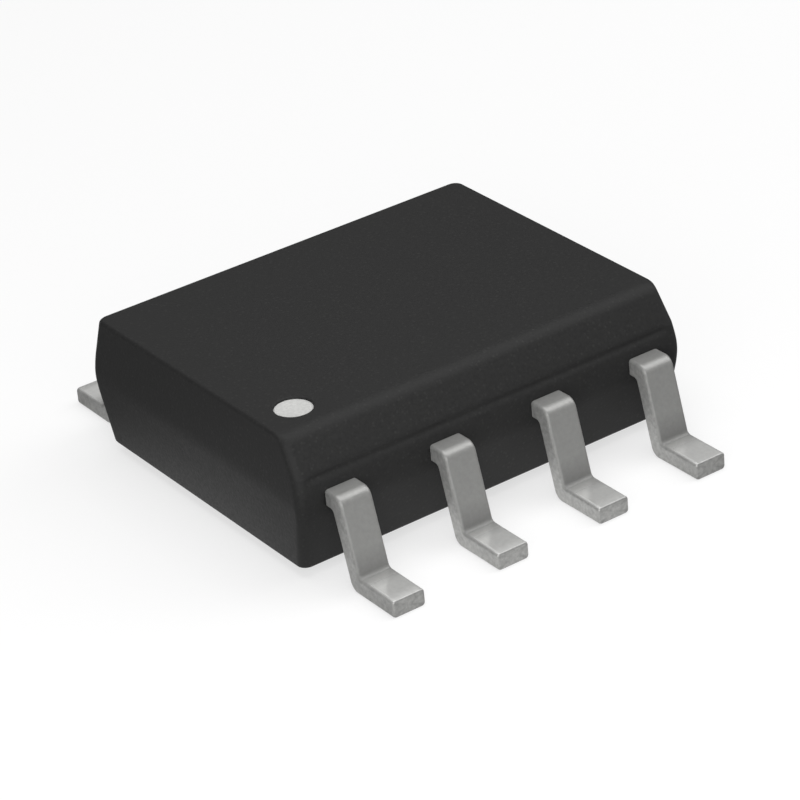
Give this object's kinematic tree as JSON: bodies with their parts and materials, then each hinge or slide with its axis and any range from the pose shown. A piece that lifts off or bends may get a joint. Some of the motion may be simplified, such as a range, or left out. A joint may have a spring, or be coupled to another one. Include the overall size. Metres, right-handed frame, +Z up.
{
  "type": "soic chip",
  "caption": "Small-outline surface-mount chip: black moulded body, gull-wing leads on both long sides, and an exposed thermal pad underneath.",
  "frame": {"origin": "middle of the body's outline on the board plane that the feet stand on", "axes": "+Z up away from the board, +Y across the chip from pins 1 to 4 to pins 5 to 8, +X along the body from pin 1 to pin 4"},
  "size_m": [0.0048, 0.006, 0.0016],
  "materials": {
    "moulding_compound": "fine-grained satin epoxy moulding compound",
    "tinned_lead": "matte tin plate on copper alloy sheet",
    "tinned_pad": "bright matte tin plate on copper alloy sheet",
    "die_adhesive": "silver-filled epoxy",
    "silicon": "polished silicon",
    "bond_wire": "drawn gold wire",
    "dot_paint": "matte white marking paint"
  },
  "bodies": {
    "root": {"mould_body": "moulding_compound", "thermal_pad": "tinned_pad", "die_attach": "die_adhesive", "silicon_die": "silicon", "pin_1_dot": "dot_paint", "lead_1": "tinned_lead", "lead_2": "tinned_lead", "lead_3": "tinned_lead", "lead_4": "tinned_lead", "lead_5": "tinned_lead", "lead_6": "tinned_lead", "lead_7": "tinned_lead", "lead_8": "tinned_lead", "bond_wire_1": "bond_wire", "bond_wire_2": "bond_wire", "bond_wire_3": "bond_wire", "bond_wire_4": "bond_wire", "bond_wire_5": "bond_wire", "bond_wire_6": "bond_wire", "bond_wire_7": "bond_wire", "bond_wire_8": "bond_wire"}
  },
  "joints": []
}
